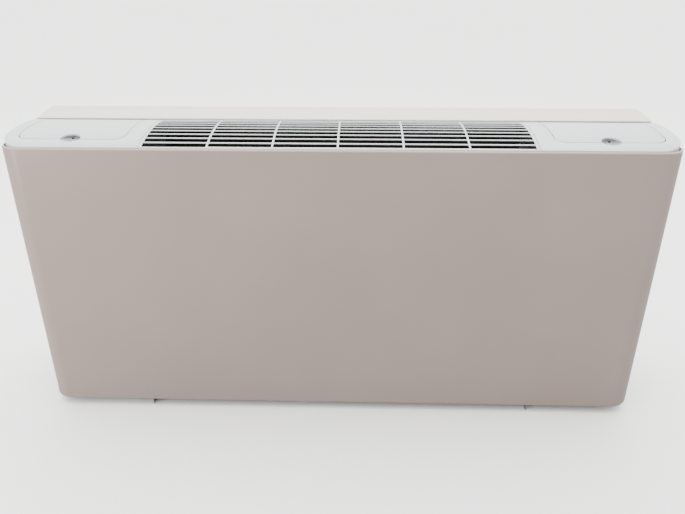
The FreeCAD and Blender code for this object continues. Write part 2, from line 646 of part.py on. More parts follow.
def make_blower_wheel(name, side):
    """Squirrel-cage wheel: two rims, a middle disc with a hub, forward-curved blades."""
    blades = 32
    chord = 12
    along = Vector(1, 0, 0)
    half = S.wheel_half

    def disc(outer, inner, start, thick):
        return Part.makeCylinder(outer, thick, Vector(start, 0, 0), along).cut(
            Part.makeCylinder(inner, thick, Vector(start, 0, 0), along))

    outer, inner = S.wheel_radius, S.wheel_radius - chord
    blade_edge = Part.Arc(Vector(0, inner + 0.6, 0), Vector(0, inner + chord / 2, 2.2),
                          Vector(0, outer - 0.6, 6)).toShape()
    blade = blade_edge.extrude(Vector(2 * half - 2, 0, 0)).makeOffsetShape(0.8, 0.01, fill=True)
    blade.translate(Vector(-half + 1, 0, 0))
    pieces = [disc(outer, inner, -half, 2), disc(outer, inner, half - 2, 2),
              disc(outer, S.shaft_radius, -1, 2)]
    pieces.append(disc(13, S.shaft_radius, -10, 20))
    for number in range(blades):
        turned = blade.copy()
        turned.rotate(Vector(), along, 360 * number / blades)
        pieces.append(turned)
    shape = pieces[0].fuse(pieces[1:])
    screw_hole = Part.makeCylinder(2, 20, Vector(6, 0, 0), Vector(0, 0, 1))
    shape = shape.cut(screw_hole.common(Part.makeCylinder(13.5, 30, Vector(-15, 0, 0), along)))
    middle = side * (S.volute_inner + S.volute_outer) / 2
    node(feature(f"{name}_blower_wheel", shape, Placement(Vector(middle, S.fan_y, S.fan_z), Rotation())))
    grub = Part.makeCylinder(2, 7, Vector(6, 0, S.shaft_radius), Vector(0, 0, 1))
    return feature(f"{name}_grub_screw",
                   grub.cut(Part.makeCylinder(S.shaft_radius, 20, Vector(-2, 0, 0), along)),
                   Placement(Vector(middle, S.fan_y, S.fan_z), Rotation()))


def make_motor():
    axis = ("fan_y", "fan_z")
    shell = rod("motor_shell", "x", "motor_radius", ("-motor_half + 8", *axis), "2 * motor_half - 16")
    bells = rod("motor_bells", "x", "motor_radius - 6", ("-motor_half", *axis), "2 * motor_half")
    noses = rod("motor_noses", "x", "12", ("-motor_half - 8", *axis), "2 * motor_half + 16")
    bore = rod("motor_bore", "x", "shaft_radius + 0.08", ("-motor_half - 20", *axis), "2 * motor_half + 40")
    node(cut("fan_motor", fuse("motor_body", shell, bells, noses), bore))
    node(rod("motor_shaft", "x", "shaft_radius", ("-volute_outer + 15", *axis), "2 * volute_outer - 30"))
    plate = box("cradle_plate", ("-74", "74"), ("fan_y - 52", "fan_y + 52"), ("deck_z - 2", "deck_z"))
    legs = [box(f"cradle_leg_{name}", span(side, "38", "40"), ("fan_y - 52", "fan_y + 52"),
                ("fan_z - 30", "deck_z"))
            for name, side in SIDES]
    seat = rod("cradle_seat", "x", "motor_radius", ("-90", *axis), "180")
    node(cut("motor_bracket", fuse("cradle_sheet", plate, *legs), seat))


# ---------------------------------------------------------------- water coil
def coil_frame():
    return Placement(Vector(0, S.coil_y, S.coil_z), Rotation(Vector(1, 0, 0), S.coil_lean))


def tube_spots():
    """Middle of every tube in the coil's own frame: two rows of six."""
    return [(row * S.row_pitch / 2, LOW_TUBE + level * S.tube_pitch) for row in (-1,
                                                                                 1) for level in range(6)]


def tube_rods(half):
    return [Part.makeCylinder(S.tube_radius, 2 * half, Vector(-half, y, z), Vector(1, 0, 0)) for y,
            z in tube_spots()]


def make_coil():
    """Fin pack, end plates, serpentine tubes and the two headers, all leaning together."""
    fins = 44
    fin_thick = 0.8
    drill = Part.makeCompound(tube_rods(S.coil_half + 20))
    pitch = 2 * S.coil_half / fins
    sheets = [Part.makeBox(fin_thick, S.coil_deep, S.coil_tall,
                           Vector(-S.coil_half + pitch * (number + 0.5), -S.coil_deep / 2, 0)).cut(drill)
              for number in range(fins)]
    node(feature("coil_fins", Part.makeCompound(sheets), coil_frame()))
    for name, side in SIDES:
        start = S.coil_half if side > 0 else -S.coil_half - 1.5
        plate = Part.makeBox(1.5, S.coil_deep + 4, S.coil_tall + 2,
                             Vector(start, -S.coil_deep / 2 - 2, -1)).cut(drill)
        node(feature(f"coil_{name}_end_plate", plate, coil_frame()))
    run = S.coil_half + 6
    pieces = tube_rods(run)
    for row in (-1, 1):
        for level in range(5):
            side = 1 if level % 2 == 0 else -1
            middle = Vector(side * run, row * S.row_pitch / 2, LOW_TUBE + (level + 0.5) * S.tube_pitch)
            ring = Part.makeTorus(S.tube_pitch / 2, S.tube_radius, middle, Vector(0, 1, 0))
            keep = Part.makeBox(40, 40, 60, middle + Vector(0 if side > 0 else -40, -20, -30))
            pieces.append(ring.common(keep))
        for level in (LOW_TUBE, HIGH_TUBE):
            pieces.append(Part.makeCylinder(S.tube_radius, 10, Vector(-run, row * S.row_pitch / 2, level),
                                            Vector(-1, 0, 0)))
    node(feature("coil_tubes", pieces[0].fuse(pieces[1:]).removeSplitter(), coil_frame()))
    for name, level in (("flow", LOW_TUBE), ("return", HIGH_TUBE)):
        barrel = Part.makeCylinder(9, 56, Vector(HEADER_X, -28, level), Vector(0, 1, 0))
        stub = Part.makeCylinder(S.stub_radius, S.stub_reach - 2, Vector(HEADER_X - 2, 0, level),
                                 Vector(-1, 0, 0))
        hollow = Part.makeCylinder(7.5, 52, Vector(HEADER_X, -26, level), Vector(0, 1, 0))
        bore = Part.makeCylinder(S.stub_radius - 1.2, 60, Vector(HEADER_X, 0, level), Vector(-1, 0, 0))
        ports = [Part.makeCylinder(S.tube_radius, 20, Vector(HEADER_X, row * S.row_pitch / 2, level),
                                   Vector(1, 0, 0))
                 for row in (-1, 1)]
        node(feature(f"{name}_header", barrel.fuse(stub).cut([hollow, bore, *ports]), coil_frame()))
        make_union(name, UNION_START, coil_point(0, level))


def hexagon_face(flat_radius):
    """Hexagon across the Y axis with one flat to each side."""
    corner = flat_radius / math.cos(math.pi / 6)
    turns = [number * math.pi / 3 for number in range(7)]
    return Part.Face(Part.makePolygon([Vector(corner * math.sin(turn), 0,
                                              corner * math.cos(turn)) for turn in turns]))


def make_union(name, start, spot):
    """Brass elbow with a hexagon end and a three-quarter inch female thread that faces the wall."""
    y, z = spot
    body = hexagon_face(S.union_flat).translated(Vector(0, -14, 0)).extrude(Vector(0, 14 + S.union_reach,
                                                                                   0))
    mouth = Part.makeCylinder(S.thread_radius, 18, Vector(0, S.union_reach - 18, 0), Vector(0, 1, 0))
    waterway = Part.makeCylinder(S.stub_radius - 1.2, S.union_reach, Vector(0, 0, 0), Vector(0, 1, 0))
    inlet = Part.makeCylinder(S.stub_radius - 1.2, S.union_flat, Vector(0, 0, 0), Vector(1, 0, 0))
    elbow = body.cut([mouth, waterway, inlet])
    node(feature(f"{name}_union", elbow, Placement(Vector(start - S.union_flat, y, z), Rotation())))


def make_vent_and_drain():
    """Air vent with its key screw on the return pipe, drain valve under the flow pipe."""
    middle = UNION_START + 11
    y, z = coil_point(0, HIGH_TUBE)
    pipe = Part.makeCylinder(S.stub_radius, 40, Vector(middle - 20, y, z), Vector(1, 0, 0))
    body = Part.makeCylinder(5, 20, Vector(middle, y, z), Vector(0, 0, 1))
    nozzle = Part.makeCylinder(1.6, 12, Vector(middle, y, z + 12), Vector(0, -1, 0))
    seat = Part.makeCylinder(2.6, 9, Vector(middle, y, z + 13), Vector(0, 0, 1))
    node(feature("air_vent_valve", body.fuse(nozzle).cut([pipe, seat])))
    stem = Part.makeCylinder(2.5, 7.5, Vector(middle, y, z + 13.3), Vector(0, 0, 1))
    head = Part.makeCylinder(4, 4, Vector(middle, y, z + 20.4), Vector(0, 0, 1))
    groove = Part.makeBox(9, 1, 1.6, Vector(middle - 4.5, y - 0.5, z + 23))
    node(feature("air_vent_screw", stem.fuse(head).cut(groove)))
    y, z = coil_point(0, LOW_TUBE)
    pipe = Part.makeCylinder(S.stub_radius, 40, Vector(middle - 20, y, z), Vector(1, 0, 0))
    body = Part.makeCylinder(5, 18, Vector(middle, y, z), Vector(0, 0, -1))
    spout = Part.makeCone(4, 3.2, 8, Vector(middle, y, z - 18), Vector(0, 0, -1))
    handle = Part.makeBox(3, 12, 8, Vector(middle - 1.5, y - 16, z - 15))
    node(feature("drain_valve", body.fuse([spout, handle]).cut(pipe)))


def make_drain_pan():
    """Tray under the coil with an end spout that reaches over the drip tray."""
    outside = box("pan_outside", ("-coil_half - 12", "coil_half + 12"), ("28", "94"), ("204", "236"))
    inside = box("pan_inside", ("-coil_half - 10.8", "coil_half + 10.8"), ("29.2", "92.8"),
                 ("205.2", "245"))
    spout_start = ("-coil_half - 60", str(PAN_SPOUT_Y), str(PAN_SPOUT_Z))
    spout = rod("pan_spout", "x", "6", spout_start, "50")
    bore = rod("pan_spout_bore", "x", "4.8", spout_start, "60")
    trough = cut("pan_trough", outside, inside)
    node(cut("drain_pan", fuse("pan_body", trough, cut("pan_spout_end", spout, inside)), bore))


def make_drip_tray():
    """Small tray below the valves, screwed to the left panel, with its own down spout."""
    outside = box("tray_outside", ("-480", "-panel_x - sheet"), ("-20", "90"),
                  ("tray_foot", "tray_foot + 24"))
    inside = box("tray_inside", ("-480 + sheet", "-panel_x - 2 * sheet"), ("-20 + sheet", "90 - sheet"),
                 ("tray_foot + sheet", "tray_foot + 40"))
    spout = rod("tray_spout", "z", "8", ("-460", "60", "tray_foot - 25"), "25 + sheet / 2")
    bore = rod("tray_spout_bore", "z", "6.5", ("-460", "60", "tray_foot - 26"), "40")
    node(cut("valve_drip_tray", fuse("tray_body", cut("tray_trough", outside, inside), spout), bore))


# ---------------------------------------------------------------- filter
def make_filter():
    """Frame with bars and a pull lip, mesh held in its middle, and the two rails it slides in."""
    across = ("-filter_half", "filter_half")
    frame = box("filter_outline", across, ("filter_front", "filter_back"), ("filter_foot", "filter_top"))
    lip = box("filter_pull_lip", ("-40", "40"), ("filter_front - 5", "filter_front"),
              ("filter_foot + 2", "filter_top - 2"))
    cells = [box(f"filter_cell_{cell}",
                 (f"-filter_half + 14 + {cell} * 160.2", f"-filter_half + 14 + {cell} * 160.2 + 146.2"),
                 ("filter_front + 12", "filter_back - 12"), ("filter_foot - 1",
                                                             "filter_top + 1")) for cell in range(4)]
    slot = box("filter_mesh_slot", ("-filter_half + 6", "filter_half - 6"),
               ("filter_front + 6", "filter_back - 6"),
               ("filter_foot + 4", "filter_foot + 5"))
    node(cut("filter_frame", fuse("filter_moulding", frame, lip), slot, *cells))
    node(box("filter_mesh", ("-filter_half + 6", "filter_half - 6"),
             ("filter_front + 6", "filter_back - 6"),
             ("filter_foot + 4", "filter_foot + 5")))
    for name, side in SIDES:
        channel = box(f"{name}_rail_channel", span(side, "panel_x - 14", "panel_x"),
                      ("filter_front + 2", "filter_back + 3"),
                      ("filter_foot - 1.6", "filter_top + 1.8"))
        room = box(f"{name}_rail_room", span(side, "panel_x - 20", "panel_x - 1.2"),
                   ("filter_front - 9", "filter_back + 1"),
                   ("filter_foot - 0.4", "filter_top + 0.6"))
        node(cut(f"{name}_filter_rail", channel, room))


def make_insulation():
    node(box("front_insulation_pad", ("-panel_x + 6", "panel_x - 6"),
             ("-depth / 2 + sheet", "-depth / 2 + sheet + foam"),
             ("210", "440")))
    node(box("rear_insulation_pad", ("-panel_x + 18", "panel_x - 18"),
             ("depth / 2 - sheet - foam", "depth / 2 - sheet"), ("240", "448")))


# ---------------------------------------------------------------- controls
def make_controls():
    """Electrical box on the right panel, its fascia, two knobs, a rocker and the parts inside."""
    outside = box("control_outside", ("panel_x + sheet", "480"), ("-48", "36"), ("box_foot", "box_top"))
    inside = box("control_inside", ("panel_x + sheet + 2", "478"), ("-46", "34"),
                 ("box_foot + 2", "box_top + 9"))
    cable = rod("control_cable_hole", "y", "6", ("430", "30", "box_foot + 20"), "20")
    node(cut("control_box", outside, inside, cable))
    plate = box("fascia_plate", ("panel_x + sheet", "484"), ("-49", "40"), ("box_top", "box_top + 2.4"))
    shafts = [rod(f"fascia_{name}_hole", "z", "3.08", (x, "knob_y", "box_top - 9"), "20")
              for name, x in (("speed", "speed_x"), ("thermostat", "thermostat_x"))]
    slot = box("fascia_switch_hole", ("rocker_x - 11", "rocker_x + 11"), ("knob_y - 7", "knob_y + 7"),
               ("box_top - 9", "box_top + 9"))
    node(cut("control_fascia", plate, slot, *shafts))
    for name, x in (("speed", "speed_x"), ("thermostat", "thermostat_x")):
        make_knob(name, x)
    make_rocker()
    terminal = box("terminal_body", ("340", "400"), ("-40", "-20"), ("box_foot + 2", "box_foot + 16"))
    wells = [rod(f"terminal_well_{way}", "z", "2.6", (f"345 + {way} * 10", "-34", "box_foot + 7"),
                 "20") for way in range(6)]
    wells += [rod(f"terminal_entry_{way}", "y", "2", (f"345 + {way} * 10", "-26", "box_foot + 8"),
                  "20") for way in range(6)]
    node(cut("terminal_block", terminal, *wells))
    node(fuse("run_capacitor", rod("capacitor_can", "x", "13", ("345", "18", "box_foot + 15"), "50"),
              rod("capacitor_boss", "x", "4", ("395", "18", "box_foot + 15"), "8")))
    node(fuse("earth_screw", rod("earth_shank", "z", "2", ("460", "-30", "box_foot + 2"), "10"),
              rod("earth_head", "z", "4.2", ("460", "-30", "box_foot + 8"), "3")))
    node(cut("cable_gland", fuse("gland_body",
                                 rod("gland_neck", "y", "11", ("430", "depth / 2 - 12", "60"), "11.5"),
                                 rod("gland_flange", "y", "15", ("430", "depth / 2 - sheet - 3", "60"),
                                     "3")),
             rod("gland_bore", "y", "4.5", ("430", "depth / 2 - 20", "60"), "40")))


def make_knob(name, x):
    """Revolved knob with a pointer groove and finger flutes, on its own spindle."""
    body = doc.addObject("PartDesign::Body", f"{name}_knob_body")
    half_section = outline_sketch(body, "XZ_Plane", [
        ("0", "0"), ("3", "0"), ("3", "14.6"), ("knob_radius", "14.6"), ("knob_radius", "17"),
        ("knob_radius - 2", "28"), ("knob_radius - 3.5", "30"), ("0", "30")], f"{name}_knob_section")
    turn = body.newObject("PartDesign::Revolution", f"{name}_knob_turn")
    turn.Profile = half_section
    turn.ReferenceAxis = (half_section, ["V_Axis"])
    turn.Angle = 360
    body.Tip = turn
    doc.recompute()
    flutes = []
    for number in range(16):
        across, along = math.cos(number * math.pi / 8), math.sin(number * math.pi / 8)
        foot = (f"(knob_radius + 0.4) * {across:.5f}", f"(knob_radius + 0.4) * {along:.5f}", "16.5")
        flutes.append(rod(f"{name}_flute_{number}", "z", "1.6", foot, "20"))
    pointer = box(f"{name}_pointer", ("-0.8", "0.8"), ("-knob_radius", "-4"), ("29.2", "33"))
    knob = cut(f"{name}_knob", body, pointer, *flutes)
    bind(knob, ".Placement.Base.x", x)
    bind(knob, ".Placement.Base.y", "knob_y")
    bind(knob, ".Placement.Base.z", "box_top - 11")
    node(knob)


def make_rocker():
    """Rocker with two trunnions in a flanged housing that drops into the fascia."""
    spot = "rocker_x"
    body = box("housing_body", (f"{spot} - 11", f"{spot} + 11"), ("knob_y - 7", "knob_y + 7"),
               ("box_top - 14", "box_top + 2.4"))
    rim = box("housing_rim", (f"{spot} - 13", f"{spot} + 13"), ("knob_y - 9", "knob_y + 9"),
              ("box_top + 2.4", "box_top + 4"))
    room = box("housing_room", (f"{spot} - 9.6", f"{spot} + 9.6"), ("knob_y - 5.4", "knob_y + 5.4"),
               ("box_top - 8", "box_top + 9"))
    pins = rod("housing_pins", "y", "1.28", (spot, "knob_y - 7", "box_top + 0.5"), "14")
    node(cut("switch_housing", fuse("housing_moulding", body, rim), room, pins))
    keel = rod("rocker_keel", "y", "9", (spot, "knob_y - 5", "box_top + 1"), "10")
    keep = box("rocker_keep", (f"{spot} - 9", f"{spot} + 9"), ("knob_y - 5", "knob_y + 5"),
               ("box_top - 3", "box_top + 7"))
    scoop = rod("rocker_scoop", "y", "18", (spot, "knob_y - 9", "box_top + 22"), "18")
    trunnion = rod("rocker_trunnion", "y", "1.2", (spot, "knob_y - 6.6", "box_top + 0.5"), "13.2")
    node(fuse("season_rocker", cut("rocker_paddle", common("rocker_blank", keel, keep), scoop), trunnion))


# ---------------------------------------------------------------- assembly
make_front_casing()
make_rear_strip()
for side_name, side_sign in SIDES:
    make_end_piece(side_name, side_sign)
    make_flap(side_name, side_sign)
make_outlet_grille()
make_end_piece_screws()
make_back_plate()
make_side_panels()
make_fan_deck()
make_top_brackets()
make_screws()
grubs = []
for side_name, side_sign in SIDES:
    make_volute(side_name, side_sign)
    grubs.append(make_blower_wheel(side_name, side_sign))
node(group("wheel_grub_screws", *grubs))
make_motor()
make_coil()
make_vent_and_drain()
make_drain_pan()
make_drip_tray()
make_filter()
make_insulation()
make_controls()
doc.recompute()

faults = [item.Label for item in doc.Objects if {"Invalid", "Error"} & set(item.State)]
for piece in nodes:
    if piece.Shape.isNull() or not piece.Shape.isValid():
        faults.append(piece.Label + " shape")
    elif not piece.Shape.Solids:
        faults.append(piece.Label + " holds no solid")
if faults:
    raise SystemExit("faulty: " + ", ".join(faults))
if len({piece.Label for piece in nodes}) != len(nodes):
    raise SystemExit("two sub-parts share a name")

os.makedirs("parts", exist_ok=True)
for piece in nodes:
    piece.Shape.exportStep(os.path.join("parts", piece.Label + ".step"))
    print(f"{piece.Label:24s} {len(piece.Shape.Solids):3d} solids {piece.Shape.Volume / 1000:10.1f} cm3")
print(len(nodes), "nodes")
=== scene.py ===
"""Cased fan convector, put together from the wall outwards: chassis, blowers, coil, filter,
controls, casing, moulded top and flaps, then the plain studio it stands in."""
import json
import math
import bmesh
import bpy
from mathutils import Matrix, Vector


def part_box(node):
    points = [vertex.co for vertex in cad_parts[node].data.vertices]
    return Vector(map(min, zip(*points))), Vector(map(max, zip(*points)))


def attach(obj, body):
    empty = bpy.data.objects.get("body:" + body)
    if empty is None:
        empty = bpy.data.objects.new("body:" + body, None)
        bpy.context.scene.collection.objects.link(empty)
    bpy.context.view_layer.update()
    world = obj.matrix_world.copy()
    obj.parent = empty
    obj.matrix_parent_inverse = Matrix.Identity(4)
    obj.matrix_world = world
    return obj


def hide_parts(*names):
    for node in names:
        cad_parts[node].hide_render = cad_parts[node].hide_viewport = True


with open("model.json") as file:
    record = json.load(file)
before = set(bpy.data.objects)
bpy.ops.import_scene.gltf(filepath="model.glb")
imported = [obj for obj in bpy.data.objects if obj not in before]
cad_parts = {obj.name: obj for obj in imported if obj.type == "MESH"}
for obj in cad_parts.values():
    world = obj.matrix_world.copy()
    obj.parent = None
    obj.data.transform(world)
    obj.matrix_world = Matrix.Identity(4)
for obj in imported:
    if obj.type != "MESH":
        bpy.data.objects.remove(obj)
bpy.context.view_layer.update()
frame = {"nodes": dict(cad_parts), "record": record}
nodes = frame["nodes"]
MM = 0.001

# ---------------------------------------------------------------- galvanised chassis
# Folded 1.2 mm hot-dip galvanised sheet: back plate, two side panels, blower shelf and housings,
# brackets, rails, drain pan, control box and the coil's end plates. Punched flat, folded and screwed
# together; the zinc shows soft spangles.


def shader(name):
    """New node material with its principled shader and object-space coordinates."""
    material = bpy.data.materials.new(name)
    material.use_nodes = True
    tree = material.node_tree
    body = tree.nodes["Principled BSDF"]
    place = tree.nodes.new("ShaderNodeTexCoord")
    return material, tree, body, place.outputs["Object"]


def noise(tree, place, scale, detail=4.0, stretch=None):
    """Noise at so many cells per metre, optionally stretched along the axes."""
    if stretch:
        squeeze = tree.nodes.new("ShaderNodeMapping")
        squeeze.inputs["Scale"].default_value = stretch
        tree.links.new(place, squeeze.inputs["Vector"])
        place = squeeze.outputs["Vector"]
    cloud = tree.nodes.new("ShaderNodeTexNoise")
    cloud.inputs["Scale"].default_value = scale
    cloud.inputs["Detail"].default_value = detail
    tree.links.new(place, cloud.inputs["Vector"])
    return cloud.outputs["Fac"]


def ramp(tree, source, stops):
    """Colour ramp over a value; stops are (position, colour)."""
    scale = tree.nodes.new("ShaderNodeValToRGB")
    marks = scale.color_ramp.elements
    while len(marks) < len(stops):
        marks.new(0.5)
    for mark, (position, colour) in zip(marks, stops):
        mark.position = position
        mark.color = (*colour, 1.0)
    tree.links.new(source, scale.inputs["Fac"])
    return scale.outputs["Color"]


def spread(tree, source, low, high):
    """A value between 0 and 1 stretched over low to high."""
    reach = tree.nodes.new("ShaderNodeMapRange")
    reach.inputs["To Min"].default_value = low
    reach.inputs["To Max"].default_value = high
    tree.links.new(source, reach.inputs["Value"])
    return reach.outputs["Result"]


def raise_surface(tree, body, source, depth, strength=1.0):
    """Bump of a real depth in metres, on top of any bump already there."""
    bump = tree.nodes.new("ShaderNodeBump")
    bump.inputs["Distance"].default_value = depth
    bump.inputs["Strength"].default_value = strength
    tree.links.new(source, bump.inputs["Height"])
    before = body.inputs["Normal"].links
    if before:
        tree.links.new(before[0].from_socket, bump.inputs["Normal"])
    tree.links.new(bump.outputs["Normal"], body.inputs["Normal"])


def finish(name, dark, light, patch, grain, depth, rough, metal=0.0, stretch=None):
    """Everyday finish: two close colours in patches, fine grain in relief, uneven gloss."""
    material, tree, body, place = shader(name)
    body.inputs["Metallic"].default_value = metal
    colour = ramp(tree, noise(tree, place, patch, 5.0, stretch), [(0.32, dark), (0.68, light)])
    tree.links.new(colour, body.inputs["Base Color"])
    gloss_patch = patch * 2.3
    tree.links.new(spread(tree, noise(tree, place, gloss_patch, 3.0, stretch), *rough),
                   body.inputs["Roughness"])
    raise_surface(tree, body, noise(tree, place, grain, 3.0, stretch), depth)
    return material


def dress(material, *names):
    """Give CAD pieces their finish."""
    for name in names:
        piece = nodes[name]
        piece.data.materials.clear()
        piece.data.materials.append(material)


def make_piece(name, bm, material, body, stands_for=(), smooth=35.0):
    """Turn a bmesh into a finished piece that rides on a body."""
    bmesh.ops.recalc_face_normals(bm, faces=bm.faces)
    mesh = bpy.data.meshes.new(name)
    bm.to_mesh(mesh)
    bm.free()
    piece = bpy.data.objects.new(name, mesh)
    bpy.context.scene.collection.objects.link(piece)
    mesh.materials.append(material)
    mesh.polygons.foreach_set("use_smooth", [True] * len(mesh.polygons))
    mesh.set_sharp_from_angle(angle=math.radians(smooth))
    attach(piece, body)
    if stands_for:
        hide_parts(*stands_for)
    return piece


def body_of(name):
    """The moving body that a CAD piece belongs to."""
    return next(body for body, members in frame["record"]["behaviour"]["bodies"].items() if name in members)


weld_gap = 0.005 * MM
flat_turn, edge_turn = math.radians(0.5), math.radians(32)
shortest_edge = 0.2 * MM


def soften(material, width, *names):
    """Finished copy of a CAD piece, its facets joined up and its edges rounded as tools leave them."""
    for name in names:
        bm = bmesh.new()
        bm.from_mesh(nodes[name].data)
        bmesh.ops.remove_doubles(bm, verts=bm.verts, dist=weld_gap)
        bmesh.ops.dissolve_degenerate(bm, edges=bm.edges, dist=weld_gap)
        bmesh.ops.dissolve_limit(bm, angle_limit=flat_turn, verts=bm.verts, edges=bm.edges)
        sharp = [edge for edge in bm.edges if len(edge.link_faces) == 2
                 and edge.calc_face_angle(0.0) > edge_turn and edge.calc_length() > shortest_edge]
        bmesh.ops.bevel(bm, geom=sharp, offset=width, offset_type="OFFSET", segments=2, profile=0.5,
                        affect="EDGES", clamp_overlap=True)
        make_piece(name + "_finished", bm, material, body_of(name), [name])


def zinc(spangles_per_metre):
    """Hot-dip zinc: crystal spangles of a few millimetres, each with its own grey and gloss."""
    material, tree, body, place = shader("zinc_spangle")
    body.inputs["Metallic"].default_value = 0.85
    crystals = tree.nodes.new("ShaderNodeTexVoronoi")
    crystals.inputs["Scale"].default_value = spangles_per_metre
    tree.links.new(place, crystals.inputs["Vector"])
    split = tree.nodes.new("ShaderNodeSeparateColor")
    tree.links.new(crystals.outputs["Color"], split.inputs["Color"])
    greys = [(0.0, (0.40, 0.42, 0.44)), (1.0, (0.56, 0.58, 0.60))]
    tree.links.new(ramp(tree, split.outputs["Red"], greys), body.inputs["Base Color"])
    tree.links.new(spread(tree, split.outputs["Green"], 0.34, 0.52), body.inputs["Roughness"])
    raise_surface(tree, body, noise(tree, place, 900.0), 0.04 * MM)
    return material


galvanised = zinc(160.0)
pressed_edge = 0.3 * MM
dress(galvanised, "back_plate", "left_side_panel", "right_side_panel", "fan_deck", "coil_left_end_plate",
      "coil_right_end_plate", "left_filter_rail", "right_filter_rail", "left_volute", "right_volute")
soften(galvanised, pressed_edge, "left_top_bracket", "right_top_bracket", "motor_bracket", "control_box",
       "drain_pan")

# ---------------------------------------------------------------- blowers, motor and shaft
# Twin squirrel-cage wheels moulded in grey nylon on one ground steel shaft, grub screws in the hubs.
# The motor is a rolled steel can between pressed end bells, dipped in black enamel.

nylon = finish("wheel_nylon", (0.16, 0.165, 0.17), (0.22, 0.225, 0.23),
               patch=60.0, grain=1800.0, depth=0.02 * MM, rough=(0.42, 0.6))
ground_steel = finish("ground_steel", (0.48, 0.48, 0.49), (0.62, 0.62, 0.63),
                      patch=40.0, grain=2600.0, depth=0.01 * MM, rough=(0.18, 0.34), metal=1.0,
                      stretch=(1.0, 12.0, 12.0))
black_oxide = finish("black_oxide", (0.015, 0.015, 0.017), (0.04, 0.04, 0.045),
                     patch=700.0, grain=3000.0, depth=0.02 * MM, rough=(0.35, 0.6), metal=0.6)
enamel = finish("motor_enamel", (0.018, 0.019, 0.021), (0.035, 0.036, 0.04),
                patch=30.0, grain=700.0, depth=0.05 * MM, rough=(0.25, 0.5))
dress(nylon, "left_blower_wheel", "right_blower_wheel")
dress(ground_steel, "motor_shaft", "deck_screws")
dress(black_oxide, "wheel_grub_screws")
dress(enamel, "fan_motor")

# ---------------------------------------------------------------- water coil and its pipes
# Copper serpentine in a pack of thin aluminium fins, brazed to two headers with brass thread ends.
# Brass air vent on the return, brass drain valve under the flow. The fins are coloured near-black as painted
# shade for the dark inside of the unit.

# Near-black fin colour: painted shade for the dark seen between the outlet slats.
fin_painted_shade_black = finish("fin_black_painted_shade", (0.035, 0.026, 0.021), (0.06, 0.046, 0.038),
                     patch=25.0, grain=1500.0, depth=0.03 * MM, rough=(0.5, 0.7))
copper = finish("drawn_copper", (0.36, 0.13, 0.06), (0.60, 0.27, 0.15),
                patch=45.0, grain=1200.0, depth=0.03 * MM, rough=(0.28, 0.5), metal=1.0)
brass = finish("turned_brass", (0.50, 0.34, 0.11), (0.68, 0.49, 0.20),
               patch=90.0, grain=2200.0, depth=0.02 * MM, rough=(0.22, 0.4), metal=1.0)
fins_half, fins_deep, fins_tall = 288.0, 52.0, 200.0
fins_foot, fins_lean = (62.0, 232.0), math.radians(22.0)
fin_pitch, fin_thick, fin_ripple, fin_waves = 2.1, 0.2, 0.5, 8


def leaning(x, across, up):
    """A point of the coil, given along its length, across its depth and up its slope."""
    return (x * MM, (fins_foot[0] + across * math.cos(fins_lean) - up * math.sin(fins_lean)) * MM,
            (fins_foot[1] + across * math.sin(fins_lean) + up * math.cos(fins_lean)) * MM)


bm = bmesh.new()
for number in range(int(2 * fins_half / fin_pitch)):
    start = -fins_half + fin_pitch * (number + 0.5)
    rails = []
    for wave in range(fin_waves + 1):
        across = fins_deep * (wave / fin_waves - 0.5)
        shift = start + (fin_ripple if wave % 2 else 0.0)
        rails.append([bm.verts.new(leaning(x, across, up)) for x, up in
                      ((shift, 0.0), (shift + fin_thick, 0.0), (shift + fin_thick, fins_tall),
                       (shift, fins_tall))])
    for near, far in zip(rails, rails[1:]):
        for k in range(4):
            bm.faces.new((near[k], near[(k + 1) % 4], far[(k + 1) % 4], far[k]))
    bm.faces.new(rails[0])
    bm.faces.new(rails[-1])
make_piece("fin_pack", bm, fin_painted_shade_black, "root", ["coil_fins"], smooth=20.0)
dress(copper, "coil_tubes", "flow_header", "return_header")
dress(brass, "flow_union", "return_union", "air_vent_valve", "air_vent_screw", "drain_valve", "earth_screw")

# ---------------------------------------------------------------- filter and drip tray
# Black polypropylene frame clipped round a woven nylon net, pulled out forwards on its two rails.
# The drip tray under the valves is moulded in the same black plastic.

black_plastic = finish("black_moulding", (0.012, 0.012, 0.013), (0.028, 0.028, 0.03),
                       patch=80.0, grain=2400.0, depth=0.03 * MM, rough=(0.4, 0.6))
net_nylon = finish("net_nylon", (0.02, 0.02, 0.022), (0.05, 0.05, 0.055),
                   patch=500.0, grain=900.0, depth=0.3 * MM, rough=(0.7, 0.9))
dress(black_plastic, "filter_frame", "valve_drip_tray")
filter_low, filter_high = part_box("filter_mesh")
strand, net_pitch = 0.35 * MM, 2.4 * MM
net_middle = (filter_low[2] + filter_high[2]) / 2


def add_bar(bm, low, high):
    """Straight bar with square edges between two corners in metres: a net strand or a folded flange."""
    corners = [bm.verts.new((x, y, z)) for x in (low[0], high[0]) for y in (low[1], high[1])
               for z in (low[2], high[2])]
    for face in ((0, 1, 3, 2), (4, 6, 7, 5), (0, 4, 5, 1), (2, 3, 7, 6), (0, 2, 6, 4), (1, 5, 7, 3)):
        bm.faces.new([corners[k] for k in face])


bm = bmesh.new()
for number in range(1, int((filter_high[0] - filter_low[0]) / net_pitch)):
    x = filter_low[0] + number * net_pitch
    add_bar(bm, (x, filter_low[1], net_middle), (x + strand, filter_high[1], net_middle + strand))
for number in range(1, int((filter_high[1] - filter_low[1]) / net_pitch)):
    y = filter_low[1] + number * net_pitch
    add_bar(bm, (filter_low[0], y, net_middle - strand), (filter_high[0], y + strand, net_middle))
make_piece("filter_net", bm, net_nylon, "filter", ["filter_mesh"])

# ---------------------------------------------------------------- insulation
# Three millimetre closed-cell foam sheets: the one glued inside the front panel against cold surfaces and
# blower noise, the one on the back plate a dark sheet put there as painted shade for the inside of the unit.

foam = finish("closed_cell_foam", (0.03, 0.023, 0.019), (0.055, 0.043, 0.036),
              patch=200.0, grain=600.0, depth=0.4 * MM, rough=(0.8, 0.95))
dress(foam, "front_insulation_pad", "rear_insulation_pad")

